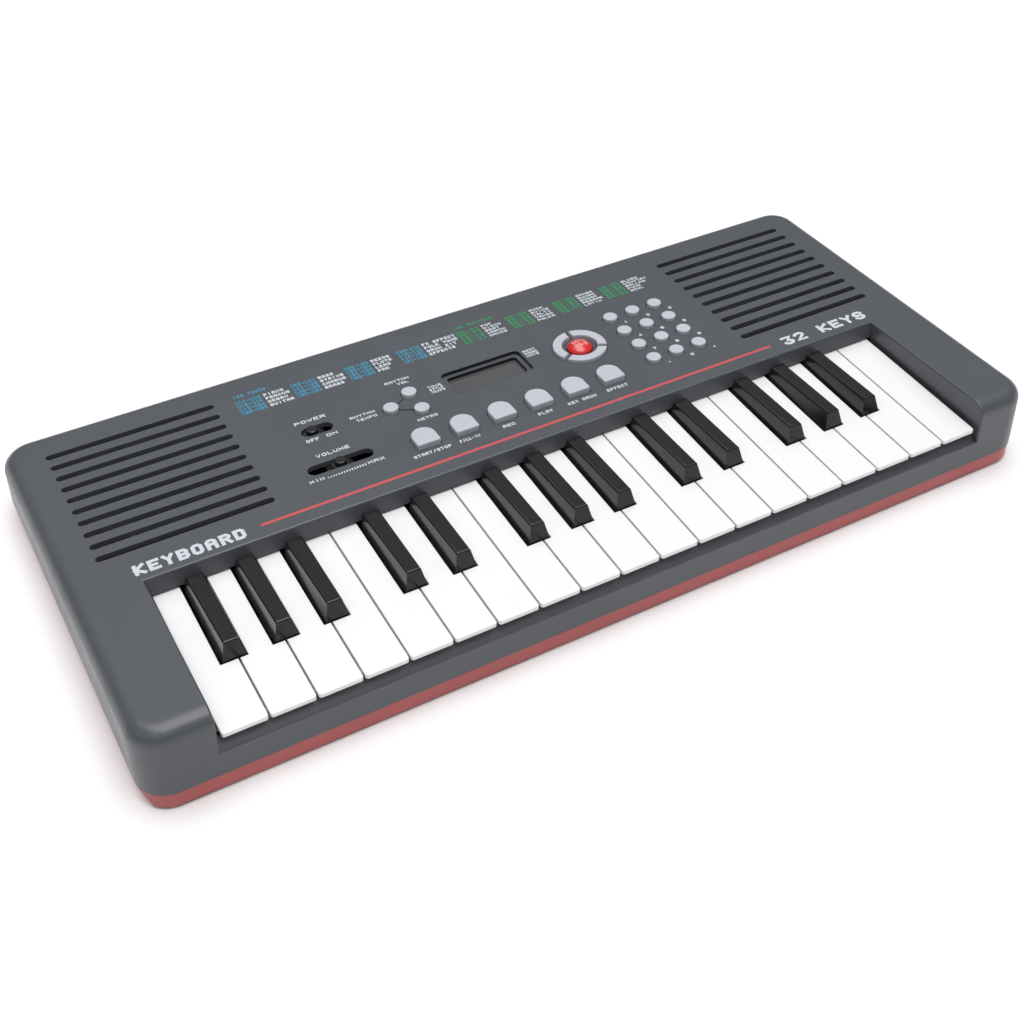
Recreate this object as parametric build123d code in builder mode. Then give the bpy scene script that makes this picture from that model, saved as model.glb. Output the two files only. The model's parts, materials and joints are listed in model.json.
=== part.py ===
from build123d import *
import os
from math import atan2, degrees, radians, sin

# Toy electronic keyboard with 32 mini keys. Millimetres. The origin is on the floor under the middle of
# the case, +X points to the player's right, +Y away from the player and +Z up.

# ---- Case
case_width = 446
case_depth = 211
corner_radius = 14  # vertical corners, in plan
shoulder_radius = 7.5  # from the sides over to the top panel
wall = 2.5
panel_front_height = 44.0  # top panel above the floor, at the front face
panel_rear_height = 33.2
seam_height = 9.6  # where the upper shell meets the lower one
seam_gap = 0.15
foot_height = 0.8  # from the floor to the underside of the lower shell
above_case = 50  # a height clear above everything
clearance = 0.35

# ---- Key bay
bay_half_width = 191.5
bay_rear_top = -18.5  # Y of the panel's front edge above the keys
bay_rear_foot = -20.3
bay_foot_height = 31.2
bay_wall = 2.2
bay_edge = 1.0
rail_top = 21.8
rail_thickness = 1.1
rail_foot = 17.0
comb_rear = -99.8  # a ramp rises from the rail to here, under the keys' front edge
comb_thickness = 1.3
comb_foot = 20.2
comb_top = 24.0
rib_thickness = 0.9
rib_reach = 0.5

# ---- White keys
white_pitch = 20.0
key_gap = 0.8
white_count = 19
key_front = -104.0  # Y of the front edge
key_top = 30.0  # Z of the playing surface
white_plate = 2.0
white_corner = 1.4
key_edge = 0.4
key_body_length = 95.0
skirt_wall = 1.4
skirt_setback = 6.2  # the skirt starts this far behind the front edge
skirt_bottom_front = 25.6
skirt_bottom = 21.5
skirt_ramp_end = 13.0
notch_front = 34.2  # from the front edge to the holes for the black keys
notch_left = 6.4  # from a black key's middle to the white key on its left
notch_right = 5.5
note_letters = "FGABCDE"
first_octave = 3
naturals_before_c = 4  # white keys below the first C
sharp_shift = {"F": -1.5, "G": 0.8, "A": 3.1, "C": -0.9, "D": 2.5}  # black keys off their gap

# ---- Black keys
black_half_base = 4.9
black_half_top = 3.2
black_front = 34.9  # from the white keys' front edge
black_front_lean = 2.2
black_rear = 82.8
black_height = 8.5  # above the white keys, at the front
black_rear_height = 5.5
black_depth = 3.0  # cap below the white keys' surface
black_edge = 1.0
black_shell = 1.9
black_half_arm = 4.6
black_arm_top = 29.4

# ---- Hinge line at the rear of the keys
pivot_reach = 102.0  # from the white keys' front edge
pivot_height = 24.0
bead_radius = 1.8
white_half_bead = 4.0
black_half_bead = 3.4
neck_inset = 0.4
neck_bottom = 24.3
neck_top = 25.7
cradle_top = 23.8
cradle_bottom = 19.0
cradle_half_depth = 3.6
cradle_half_length = 189.5
cradle_stem = 2.4
hold_down_bottom = 26.6
hold_down_thickness = 2.0
key_dip = 2.5  # degrees, the deepest a key goes

# ---- Sound slots in the panel, as X and Y on its surface
grille_x = 165.5
grille_y = 44.2
grille_count = 10
grille_pitch = 8.97
slot_length = 79.8
slot_width = 3.6

# ---- Buttons
travel = 1.2
button_root = wall + 0.3
flange_rim = 0.8
flange_thickness = 1.0
crown = 0.8
stem_radius = 1.2
function_width = 12.0
function_depth = 12.7
function_corner = 1.0
function_pitch = 20.0
function_y = 9.0
function_height = 2.9
function_names = ("start", "fill_in", "record", "play", "drum", "effect")
round_radius = 3.8
round_height = 2.2
rhythm_centre = (-45.2, 38.1)
rhythm_orbit = 8.6
rhythm_angles = {"rhythm": 60, "tempo": 180, "metronome": -60}
groove_width = 1.1
groove_depth = 0.6
keypad_centre = (90.2, 31.3)
keypad_pitch_x = 13.4
keypad_pitch_y = 14.2
keypad_columns = 3
keypad_rows = 4
keypad_web_margin = 5.5
ring_centre = (50.2, 38.0)
ring_outer = 13.8
ring_inner = 9.0
ring_split = 2.0
ring_height = 2.0
ring_first_split = 90
ring_arc = 120
ring_names = ("left", "front", "rear")
demo_radius = 6.4
demo_rim_height = 1.0
demo_height = 3.4
demo_flange_radius = 8.4
demo_flange_drop = 2.6  # below the ring buttons' flanges
demo_collar_drop = 0.4  # from the panel to the collar between the ring and the dome

# ---- Sliding switches
slider_x = -90.0
power_y = 41.9
power_slot = 15.6
power_rest = -2.5  # the knob's place along its slot, from the middle
volume_y = 13.4
volume_slot = 32.0
slider_width = 7.0
carriage_length = 9.0
carriage_top = 0.9  # below the panel
carriage_bar_length = 13.0
carriage_bar_width = 10.0
carriage_bar_thickness = 1.2
slider_body_width = 8.0
slider_body_thickness = 3.6
knob_radius = 2.9
knob_height = 1.5

# ---- Display
window_centre = (0.2, 42.8)
window_width = 43.4
window_depth = 19.6
window_radius = 3.0
window_step = 1.8
window_shelf = 2.4
window_recess = 3.5
window_thickness = 1.5
window_margin = 1.0
lcd_gap = 0.2
lcd_width = 41.0
lcd_depth = 17.6
lcd_thickness = 2.4
lcd_rim = 1.6
lcd_rim_depth = 0.5
lcd_leg = 1.2

# ---- Lower shell
base_inset = 0.3
base_draft = 2
base_edge = 1.5
side_slant = 4.6  # how far the lower shell's sides lean in at the foot
side_slant_drop = 0.6  # below the seam
base_floor = 2.2
base_side = 4.9  # from the case's outline in to the inside of the lower shell
lip_gap = 0.2
lip_top = 12.6
boss_points = [(x, y) for x in (-205, 205) for y in (-86, 92)]
boss_points += [(-123, 12), (123, 12), (-70, 95), (70, 95)]
boss_radius = 3.6
boss_bottom = 10.0
well_radius = 5.2
well_bore = 3.6
well_top = 9.9
well_floor = 2.0
screw_radius = 1.3
screw_fit = 0.1
screw_head_radius = 2.8
screw_head_height = 2.0
screw_length = 14.0
screw_cross = 3.4
screw_cross_width = 0.8
screw_cross_depth = 1.0
foot_points = [(x, y) for x in (-165, 165) for y in (-88, 86)]
foot_radius = 7.0
foot_recess = 0.8
foot_edge = 0.7

# ---- Battery bay for six AA cells side by side, and the door that slides out to the rear
bay_cells = 6
cell_pitch = 15.2
cell_length = 50.5
contact_room = 7.0
cell_bay_height = 15.8
cell_bay_y = 62.0
cell_bay_wall = 1.6
slab_top = 4.7
slab_margin = 6.0
door_half_width = 48.0
door_front = 30.0
door_rear = 103.4
door_tongue = 1.5
door_split = 1.9  # Z where the tongues start
door_top = 2.8
door_play = 0.25
grip_count = 5
grip_pitch = 3.0
grip_length = 30.0
grip_width = 1.2
grip_depth = 0.6
spring_wire = 0.35
spring_radius = 3.4
spring_pitch = 1.5
spring_length = 4.5
spring_cone = -12
plate_thickness = 0.4
plate_half_width = 5.5
plate_height = 9.0
button_contact = 2.2

# ---- Boards, rubber domes and speakers
board_half_width = 114.0
board_front = 6.0
board_rear = 88.0
board_bottom = 24.0
board_thickness = 1.6
post_radius = 3.0
post_points = [(x, y) for x in (-106, 106) for y in (20, 82)]
chip_points = [(-20, 72), (16, 72), (60, 70)]
chip_size = (18, 10, 2.2)
capacitor_points = [(-60, 72), (-52, 72), (-44, 72)]
capacitor_radius = 2.5
capacitor_height = 4.5
contact_y = key_front + 60.0
contact_half_length = 188.0
contact_half_width = 10.0
contact_board_bottom = 11.0
contact_rib = 1.6
contact_rib_spread = 7.0
rubber_sheet = 1.0
rubber_half_width = 7.0
dome_top = 19.2
dome_radius = 3.4
dome_draft = 12
leg_half = 1.8
speaker_radius = 35.0
speaker_gap = 0.5
speaker_flange = 1.6
basket_radius = 31.0
basket_depth = 10.0
basket_taper = 40
magnet_radius = 18.0
magnet_depth = 7.0
cone_radius = 28.0
cone_depth = 1.2
speaker_rib = 1.6
speaker_rib_depth = 3.0

panel_slope = (panel_front_height - panel_rear_height) / case_depth
panel_middle = (panel_front_height + panel_rear_height) / 2
panel = Plane(origin=(0, 0, panel_middle), x_dir=(1, 0, 0), z_dir=(0, panel_slope, 1))
panel_axis = Axis((0, 0, 0), panel.z_dir)
underside = panel.offset(-wall)
base_top = seam_height - seam_gap
floor_top = foot_height + base_floor
board_top = board_bottom + board_thickness
contact_board_top = contact_board_bottom + board_thickness
pivot_y = key_front + pivot_reach
key_rear = key_front + key_body_length
cap_front = key_front + black_front
cap_rear = key_front + black_rear
cap_top = key_top + black_height
cap_rear_top = key_top + black_rear_height
cap_bottom = key_top - black_depth
leg_bottom = dome_top + clearance + (pivot_y - contact_y) * sin(radians(key_dip))
bay_top_height = panel_middle - panel_slope * bay_rear_top
bay_lean = (bay_rear_top - bay_rear_foot) / (bay_top_height - bay_foot_height)
bay_rear_above = bay_rear_foot + bay_lean * (above_case - bay_foot_height)
cell_bay_width = bay_cells * cell_pitch
cell_bay_depth = cell_length + contact_room
cell_bay_top = door_top + cell_bay_height
cell_axis = door_top + cell_bay_height / 2
demo_root = button_root + demo_flange_drop
demo_bulge = demo_height - demo_rim_height
demo_ball = (demo_radius**2 + demo_bulge**2) / (2 * demo_bulge)
ring_starts = [ring_first_split + third * ring_arc for third in range(len(ring_names))]
grille_spots = [(x, grille_y) for x in (-grille_x, grille_x)]
rail_inner = -case_depth / 2 + rail_thickness

os.makedirs("parts", exist_ok=True)


def save(part, name):
    part.label = name
    export_step(part, f"parts/{name}.step")


# ---------------------------------------------------------------- where things are
function_spots = {
    name: ((i - (len(function_names) - 1) / 2) * function_pitch, function_y)
    for i, name in enumerate(function_names)
}
rhythm_spots = {}
for rhythm_name, rhythm_angle in rhythm_angles.items():
    rhythm_offset = Vector(rhythm_orbit, 0).rotate(Axis.Z, rhythm_angle)
    rhythm_spots[rhythm_name] = (rhythm_centre[0] + rhythm_offset.X, rhythm_centre[1] + rhythm_offset.Y)
keypad_spots = [
    (
        keypad_centre[0] + (column - (keypad_columns - 1) / 2) * keypad_pitch_x,
        keypad_centre[1] + (row - (keypad_rows - 1) / 2) * keypad_pitch_y,
    )
    for row in range(keypad_rows)
    for column in range(keypad_columns)
]
whites = []  # letter, octave and X of each white key
for i in range(white_count):
    letter = note_letters[i % len(note_letters)]
    octave = first_octave + (i + len(note_letters) - naturals_before_c) // len(note_letters)
    whites.append((letter, octave, (i - (white_count - 1) / 2) * white_pitch))
blacks = [
    (letter, octave, x + white_pitch / 2 + sharp_shift[letter])
    for letter, octave, x in whites[:-1]
    if letter in sharp_shift
]


# ---------------------------------------------------------------- outlines and shared solids
def case_body(inset):
    """The case's outer form with its sloping top and round shoulders, drawn in by inset all round."""
    with BuildPart() as body:
        with BuildSketch(Plane.XY.offset(seam_height)):
            RectangleRounded(case_width - 2 * inset, case_depth - 2 * inset, corner_radius - inset)
        extrude(amount=above_case - seam_height)
        split(bisect_by=panel.offset(-inset), keep=Keep.BOTTOM)
        fillet(body.faces().sort_by(Axis.Z)[-1].edges(), shoulder_radius - inset)
    return body.part


def arch(margin=0):
    """Outline of a function button, centred: straight front and sides and a half-round rear."""
    half = function_width / 2 + margin
    front = -function_depth / 2 - margin
    shoulder = (function_depth - function_width) / 2
    with BuildSketch() as outline:
        with BuildLine():
            Polyline((-half, shoulder), (-half, front), (half, front), (half, shoulder))
            ThreePointArc((half, shoulder), (0, shoulder + half), (-half, shoulder))
        make_face()
        fillet(outline.vertices().sort_by(Axis.Y)[:2], function_corner)
    return outline.sketch


def disc(radius):
    with BuildSketch() as outline:
        Circle(radius)
    return outline.sketch


def ring_third(start, margin=0):
    """Outline of one third of the ring of buttons, from the split at the start angle."""
    radii = (ring_outer + margin, ring_inner - margin)
    trims = [degrees((ring_split / 2 - margin) / radius) for radius in radii]
    with BuildSketch() as outline:
        with BuildLine():
            arcs = [
                CenterArc((0, 0), radius, start + trim, ring_arc - 2 * trim)
                for radius, trim in zip(radii, trims)
            ]
            Line(arcs[0] @ 0, arcs[1] @ 0)
            Line(arcs[0] @ 1, arcs[1] @ 1)
        make_face()
    return outline.sketch


def press_button(name, cap, flange, spots, stem_spots, height, root=button_root, ball=None):
    """Caps that stand out of the panel, flanges that keep them in, and stems down to the board. A cap
    is flat with a rounded rim, or a dome where the radius of a ball is given."""
    with BuildPart() as button:
        with BuildSketch(panel.offset(-root)):
            with Locations(*spots):
                add(cap)
        extrude(amount=root + height)
        if ball:
            with Locations(panel.offset(height - ball).location * Pos(*spots[0])):
                Sphere(ball, mode=Mode.INTERSECT)
        else:
            fillet(button.faces().group_by(panel_axis)[-1].edges(), crown)
        with BuildSketch(panel.offset(-root)):
            add(flange)
        extrude(amount=-flange_thickness)
        with BuildSketch(panel.offset(-root - flange_thickness / 2)):
            with Locations(*stem_spots):
                Circle(stem_radius)
        extrude(amount=-above_case)
        stem_end = board_top + travel + clearance
        split(bisect_by=Plane.XY.offset(stem_end), keep=Keep.TOP)
    save(button.part, name)


# ---------------------------------------------------------------- upper shell
# What is hollow inside the upper shell. Whatever is taken out of this hollow stays as walls and bosses.
with BuildPart() as hollow:
    add(case_body(wall))
    for side in (-1, 1):
        with Locations((side * (bay_half_width + bay_wall / 2), pivot_y, lip_top)):
            Box(
                bay_wall, case_depth, above_case,
                align=(Align.CENTER, Align.MAX, Align.MIN),
                mode=Mode.SUBTRACT,
            )
    with BuildSketch(Plane.YZ):
        with BuildLine():
            Polyline(
                (bay_rear_foot, bay_foot_height),
                (bay_rear_above, above_case),
                (bay_rear_above + bay_wall, above_case),
                (bay_rear_foot + bay_wall, bay_foot_height),
                close=True,
            )
        make_face()
    extrude(amount=bay_half_width + bay_wall, both=True, mode=Mode.SUBTRACT)
    with Locations((0, pivot_y, hold_down_bottom)):
        Box(
            2 * cradle_half_length, hold_down_thickness, above_case,
            align=(Align.CENTER, Align.CENTER, Align.MIN),
            mode=Mode.SUBTRACT,
        )
    with BuildSketch(Plane.XY.offset(boss_bottom)):
        with Locations(*boss_points):
            Circle(boss_radius)
    extrude(amount=above_case, mode=Mode.SUBTRACT)
    with BuildSketch(underside):
        with Locations(*grille_spots):
            Circle(speaker_radius + speaker_gap + speaker_rib)
            Circle(speaker_radius + speaker_gap, mode=Mode.SUBTRACT)
    extrude(amount=-speaker_rib_depth, mode=Mode.SUBTRACT)
    with BuildSketch(underside):
        with Locations(window_centre):
            Rectangle(window_width + 2 * window_margin, window_depth + 2 * window_margin)
    extrude(amount=wall - window_recess, mode=Mode.SUBTRACT)

with BuildPart() as comb_rib:
    with BuildSketch(Plane.YZ):
        with BuildLine():
            Polyline(
                (rail_inner, comb_foot),
                (rail_inner, comb_foot + rib_reach),
                (comb_rear - rib_reach, comb_top),
                (comb_rear, comb_top),
                close=True,
            )
        make_face()
    extrude(amount=rib_thickness / 2, both=True)

with BuildPart() as upper_case:
    add(case_body(0))
    add(hollow.part, mode=Mode.SUBTRACT)
    with BuildSketch(Plane.YZ):
        with BuildLine():
            Polyline(
                (-case_depth, rail_top),
                (-case_depth, above_case),
                (bay_rear_above, above_case),
                (bay_rear_foot, bay_foot_height),
                (bay_rear_foot, rail_top),
                close=True,
            )
        make_face()
    extrude(amount=bay_half_width, both=True, mode=Mode.SUBTRACT)
    cheek_rims = upper_case.edges().filter_by(
        lambda e: abs(abs(e.center().X) - bay_half_width) < bay_edge
        and e.center().Z > comb_top
        and e.center().Y < bay_rear_foot - bay_edge
    )
    panel_rim = upper_case.edges().filter_by(Axis.X).filter_by(
        lambda e: abs(e.center().Y - bay_rear_top) < 0.01 and e.center().Z > bay_foot_height + bay_edge
    )
    fillet(cheek_rims + panel_rim, bay_edge)
    # the front rail is thinner than the wall under it, with the ribbed ramp behind it
    with Locations((0, rail_inner, rail_foot)):
        Box(
            2 * bay_half_width, wall, above_case,
            align=(Align.CENTER, Align.MIN, Align.MIN),
            mode=Mode.SUBTRACT,
        )
    with BuildSketch(Plane.YZ):
        with BuildLine():
            Polyline(
                (rail_inner, comb_foot - 2 * comb_thickness),
                (rail_inner, comb_foot),
                (comb_rear, comb_top),
                (comb_rear + comb_thickness, comb_top),
                (comb_rear + comb_thickness, comb_top - comb_thickness),
                close=True,
            )
        make_face()
    extrude(amount=bay_half_width, both=True)
    with GridLocations(white_pitch, 1, white_count - 1, 1):
        add(comb_rib.part)
    # sound slots in two groups
    with BuildSketch(panel):
        with Locations(*grille_spots):
            with GridLocations(1, grille_pitch, 1, grille_count):
                SlotOverall(slot_length, slot_width)
    extrude(amount=-wall - clearance, mode=Mode.SUBTRACT)
    # holes for the buttons and the sliding switches
    with BuildSketch(panel):
        with Locations(*function_spots.values()):
            add(arch(clearance))
        with Locations(*rhythm_spots.values(), *keypad_spots):
            Circle(round_radius + clearance)
        with Locations(ring_centre):
            for start in ring_starts:
                add(ring_third(start, clearance))
            Circle(demo_radius + clearance)
        with Locations((slider_x, power_y)):
            SlotOverall(power_slot, slider_width)
        with Locations((slider_x, volume_y)):
            SlotOverall(volume_slot, slider_width)
    extrude(amount=-wall - clearance, mode=Mode.SUBTRACT)
    # the collar between the ring and the dome, and its three spokes, lie a little below the panel
    with BuildSketch(panel):
        with Locations(ring_centre):
            Circle(ring_outer)
    extrude(amount=-demo_collar_drop, mode=Mode.SUBTRACT)
    # two grooves lead from the left one of the three round buttons to the others
    with BuildSketch(panel):
        start = Vector(*rhythm_spots["tempo"])
        for rhythm_name in ("rhythm", "metronome"):
            run = Vector(*rhythm_spots[rhythm_name]) - start
            with Locations(start + run / 2):
                Rectangle(run.length, groove_width, rotation=degrees(atan2(run.Y, run.X)))
    extrude(amount=-groove_depth, mode=Mode.SUBTRACT)
    # stepped opening for the display
    with BuildSketch(panel):
        with Locations(window_centre):
            RectangleRounded(window_width, window_depth, window_radius)
    extrude(amount=-window_step, mode=Mode.SUBTRACT)
    with BuildSketch(panel):
        with Locations(window_centre):
            RectangleRounded(
                window_width - 2 * window_shelf,
                window_depth - 2 * window_shelf,
                window_radius - 1,
            )
    extrude(amount=-window_recess - clearance, mode=Mode.SUBTRACT)
    # pilot holes for the case screws
    with BuildSketch(Plane.XY.offset(boss_bottom)):
        with Locations(*boss_points):
            Circle(screw_radius + screw_fit)
    extrude(amount=screw_length, mode=Mode.SUBTRACT)
save(upper_case.part, "upper_case")

# ---------------------------------------------------------------- lower shell
with BuildPart() as lower_case:
    with BuildSketch(Plane.XY.offset(base_top)):
        RectangleRounded(case_width - 2 * base_inset, case_depth - 2 * base_inset, corner_radius - base_inset)
    extrude(amount=foot_height - base_top, taper=base_draft)
    fillet(lower_case.faces().sort_by(Axis.Z)[0].edges(), base_edge)
    with BuildSketch(Plane.XZ.offset(-case_depth)):
        slant_top = base_top - side_slant_drop
        with BuildLine():
            Polyline(
                (case_width / 2, slant_top),
                (case_width / 2 - base_inset, slant_top),
                (case_width / 2 - side_slant, foot_height),
                (case_width / 2 - side_slant, 0),
                (case_width / 2, 0),
                close=True,
            )
        make_face()
        mirror(about=Plane.YZ)
    extrude(amount=2 * case_depth, mode=Mode.SUBTRACT)
    with BuildSketch(Plane.XY.offset(base_top - wall)):
        lip_inset = wall + lip_gap
        RectangleRounded(case_width - 2 * lip_inset, case_depth - 2 * lip_inset, corner_radius - lip_inset)
    extrude(amount=lip_top - base_top + wall)
    with BuildSketch(Plane.XY.offset(floor_top)):
        RectangleRounded(case_width - 2 * base_side, case_depth - 2 * base_side, corner_radius - base_side)
    extrude(amount=above_case, mode=Mode.SUBTRACT)
    # wells for the screw heads, and posts for the main board
    with BuildSketch(Plane.XY.offset(floor_top - base_floor / 2)):
        with Locations(*boss_points):
            Circle(well_radius)
    extrude(amount=well_top - floor_top + base_floor / 2)
    with BuildSketch(Plane.XY.offset(foot_height)):
        with Locations(*boss_points):
            Circle(well_bore)
    extrude(amount=well_top - well_floor - foot_height, mode=Mode.SUBTRACT)
    with BuildSketch(Plane.XY.offset(foot_height)):
        with Locations(*boss_points):
            Circle(screw_radius + screw_fit)
    extrude(amount=above_case, mode=Mode.SUBTRACT)
    with BuildSketch(Plane.XY.offset(floor_top)):
        with Locations(*post_points):
            Circle(post_radius)
    extrude(amount=board_bottom - floor_top)
    # trough for the keys' hinge beads on its stem, and the ribs that carry the contact board
    with Locations((0, pivot_y, cradle_bottom)):
        Box(
            2 * cradle_half_length, 2 * cradle_half_depth, cradle_top - cradle_bottom,
            align=(Align.CENTER, Align.CENTER, Align.MIN),
        )
    with BuildSketch(Plane.YZ.offset(-cradle_half_length)):
        with Locations((pivot_y, pivot_height)):
            Circle(bead_radius + clearance)
    extrude(amount=2 * cradle_half_length, mode=Mode.SUBTRACT)
    with Locations((0, pivot_y, floor_top)):
        Box(
            2 * cradle_half_length, cradle_stem, cradle_bottom - floor_top,
            align=(Align.CENTER, Align.CENTER, Align.MIN),
        )
    with Locations((0, contact_y, floor_top)):
        with GridLocations(1, 2 * contact_rib_spread, 1, 2):
            Box(
                2 * contact_half_length, contact_rib, contact_board_bottom - floor_top,
                align=(Align.CENTER, Align.CENTER, Align.MIN),
            )
    # battery bay: a thick slab that guides the door, and a box for the cells above it
    with BuildSketch(Plane.XY.offset(floor_top - base_floor / 2)):
        slab_front = door_front - slab_margin
        slab_depth = case_depth / 2 - base_side - slab_front
        with Locations((0, slab_front + slab_depth / 2)):
            Rectangle(2 * (door_half_width + slab_margin), slab_depth)
    extrude(amount=slab_top - floor_top + base_floor / 2)
    with Locations((0, cell_bay_y, slab_top)):
        Box(
            cell_bay_width + 2 * cell_bay_wall,
            cell_bay_depth + 2 * cell_bay_wall,
            cell_bay_top + cell_bay_wall - slab_top,
            align=(Align.CENTER, Align.CENTER, Align.MIN),
        )
    with Locations((0, cell_bay_y, 0)):
        Box(
            cell_bay_width, cell_bay_depth, cell_bay_top,
            align=(Align.CENTER, Align.CENTER, Align.MIN),
            mode=Mode.SUBTRACT,
        )
    with Locations((0, door_front - door_play, 0)):
        Box(
            2 * (door_half_width + door_play), case_depth, door_split,
            align=(Align.CENTER, Align.MIN, Align.MIN),
            mode=Mode.SUBTRACT,
        )
    with Locations((0, door_front - door_play, door_split - door_play)):
        Box(
            2 * (door_half_width + door_tongue + door_play), case_depth, door_top - door_split + 2 * door_play,
            align=(Align.CENTER, Align.MIN, Align.MIN),
            mode=Mode.SUBTRACT,
        )
    with BuildSketch():
        with Locations(*foot_points):
            Circle(foot_radius + screw_fit)
    extrude(amount=foot_height + foot_recess, mode=Mode.SUBTRACT)
save(lower_case.part, "lower_case")

with BuildPart() as battery_door:
    with Locations((0, door_front, foot_height)):
        Box(
            2 * door_half_width, door_rear - door_front, door_split - foot_height,
            align=(Align.CENTER, Align.MIN, Align.MIN),
        )
    with Locations((0, door_front, door_split)):
        Box(
            2 * (door_half_width + door_tongue), door_rear - door_front, door_top - door_split,
            align=(Align.CENTER, Align.MIN, Align.MIN),
        )
    with BuildSketch(Plane.XY.offset(foot_height)):
        with Locations((0, door_rear - grip_count * grip_pitch)):
            with GridLocations(1, grip_pitch, 1, grip_count):
                SlotOverall(grip_length, grip_width)
    extrude(amount=grip_depth, mode=Mode.SUBTRACT)
save(battery_door.part, "battery_door")

with BuildPart() as rubber_feet:
    with BuildSketch():
        with Locations(*foot_points):
            Circle(foot_radius)
    extrude(amount=foot_height + foot_recess)
    fillet(rubber_feet.edges().group_by(Axis.Z)[0], foot_edge)
save(rubber_feet.part, "rubber_feet")

screw_seat = well_top - well_floor
with BuildPart() as case_screws:
    with BuildSketch(Plane.XY.offset(screw_seat - screw_head_height)):
        with Locations(*boss_points):
            Circle(screw_head_radius)
    extrude(amount=screw_head_height)
    with BuildSketch(Plane.XY.offset(screw_seat)):
        with Locations(*boss_points):
            Circle(screw_radius)
    extrude(amount=screw_length)
    with BuildSketch(Plane.XY.offset(screw_seat - screw_head_height)):
        with Locations(*boss_points):
            Rectangle(screw_cross, screw_cross_width)
            Rectangle(screw_cross_width, screw_cross)
    extrude(amount=screw_cross_depth, mode=Mode.SUBTRACT)
save(case_screws.part, "case_screws")

# ---------------------------------------------------------------- battery contacts
with BuildPart() as coil_spring:
    with BuildLine() as coil:
        Helix(spring_pitch, spring_length, spring_radius, cone_angle=spring_cone)
    with BuildSketch(Plane(origin=coil.line @ 0, z_dir=coil.line % 0)):
        Circle(spring_wire)
    sweep()

with BuildPart() as battery_contacts:
    for cell in range(bay_cells):
        cell_x = (cell - (bay_cells - 1) / 2) * cell_pitch
        spring_side = 1 if cell % 2 else -1
        for side in (-1, 1):
            plate_y = cell_bay_y + side * (cell_bay_depth - plate_thickness) / 2
            with Locations((cell_x, plate_y, cell_axis)):
                Box(2 * plate_half_width, plate_thickness, plate_height)
        spring_root = cell_bay_y + spring_side * (cell_bay_depth / 2 - plate_thickness)
        knob_root = cell_bay_y - spring_side * (cell_bay_depth / 2 - plate_thickness)
        with Locations((cell_x, knob_root + spring_side * button_contact / 2, cell_axis)):
            Cylinder(button_contact, button_contact, rotation=(90, 0, 0))
        with Locations(Location((cell_x, spring_root, cell_axis), (spring_side * 90, 0, 0))):
            add(coil_spring.part)
save(battery_contacts.part, "battery_contacts")

# ---------------------------------------------------------------- display
with BuildPart() as display_window:
    with BuildSketch(panel.offset(-window_recess)):
        with Locations(window_centre):
            RectangleRounded(window_width, window_depth, window_radius)
    extrude(amount=-window_thickness)
save(display_window.part, "display_window")

with BuildPart() as lcd_module:
    lcd_top = panel.offset(-window_recess - window_thickness - lcd_gap)
    with BuildSketch(lcd_top):
        with Locations(window_centre):
            Rectangle(lcd_width, lcd_depth)
    extrude(amount=-lcd_thickness)
    with BuildSketch(lcd_top):
        with Locations(window_centre):
            Rectangle(lcd_width - 2 * lcd_rim, lcd_depth - 2 * lcd_rim)
    extrude(amount=-lcd_rim_depth, mode=Mode.SUBTRACT)
    with BuildSketch(lcd_top.offset(-lcd_thickness / 2)):
        with Locations(window_centre):
            with GridLocations(lcd_width - lcd_leg, lcd_depth - lcd_leg, 2, 2):
                Rectangle(lcd_leg, lcd_leg)
    extrude(amount=-above_case)
    split(bisect_by=Plane.XY.offset(board_top), keep=Keep.TOP)
save(lcd_module.part, "lcd_module")

# ---------------------------------------------------------------- boards and rubber domes
with BuildPart() as main_board:
    with Locations((0, board_front, board_bottom)):
        Box(
            2 * board_half_width, board_rear - board_front, board_thickness,
            align=(Align.CENTER, Align.MIN, Align.MIN),
        )
    with Locations(*[(x, y, board_top) for x, y in chip_points]):
        Box(*chip_size, align=(Align.CENTER, Align.CENTER, Align.MIN))
    with BuildSketch(Plane.XY.offset(board_top)):
        with Locations(*capacitor_points):
            Circle(capacitor_radius)
    extrude(amount=capacitor_height)
save(main_board.part, "main_board")

with BuildPart() as key_contact_board:
    with Locations((0, contact_y, contact_board_bottom)):
        Box(
            2 * contact_half_length, 2 * contact_half_width, board_thickness,
            align=(Align.CENTER, Align.CENTER, Align.MIN),
        )
save(key_contact_board.part, "key_contact_board")


def key_span(index):
    """X limits, from the key's own middle, of a white key beside its black neighbours' holes."""
    half = (white_pitch - key_gap) / 2
    left, right = -half, half
    before = whites[index - 1][0] if index else None
    if before in sharp_shift:
        left = sharp_shift[before] + notch_right - white_pitch / 2
    if whites[index][0] in sharp_shift and index < white_count - 1:
        right = sharp_shift[whites[index][0]] - notch_left + white_pitch / 2
    return left, right


white_middles = [sum(key_span(i)) / 2 for i in range(white_count)]
dome_xs = [x + middle for (_, _, x), middle in zip(whites, white_middles)] + [x for _, _, x in blacks]

with BuildPart() as contact_rubber:
    with Locations((0, contact_y, contact_board_top)):
        Box(
            2 * contact_half_length, 2 * rubber_half_width, rubber_sheet,
            align=(Align.CENTER, Align.CENTER, Align.MIN),
        )
    with BuildSketch(Plane.XY.offset(contact_board_top + rubber_sheet)):
        with Locations(*[(x, contact_y) for x in dome_xs]):
            Circle(dome_radius)
    extrude(amount=dome_top - contact_board_top - rubber_sheet, taper=dome_draft)
save(contact_rubber.part, "contact_rubber")

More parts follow.
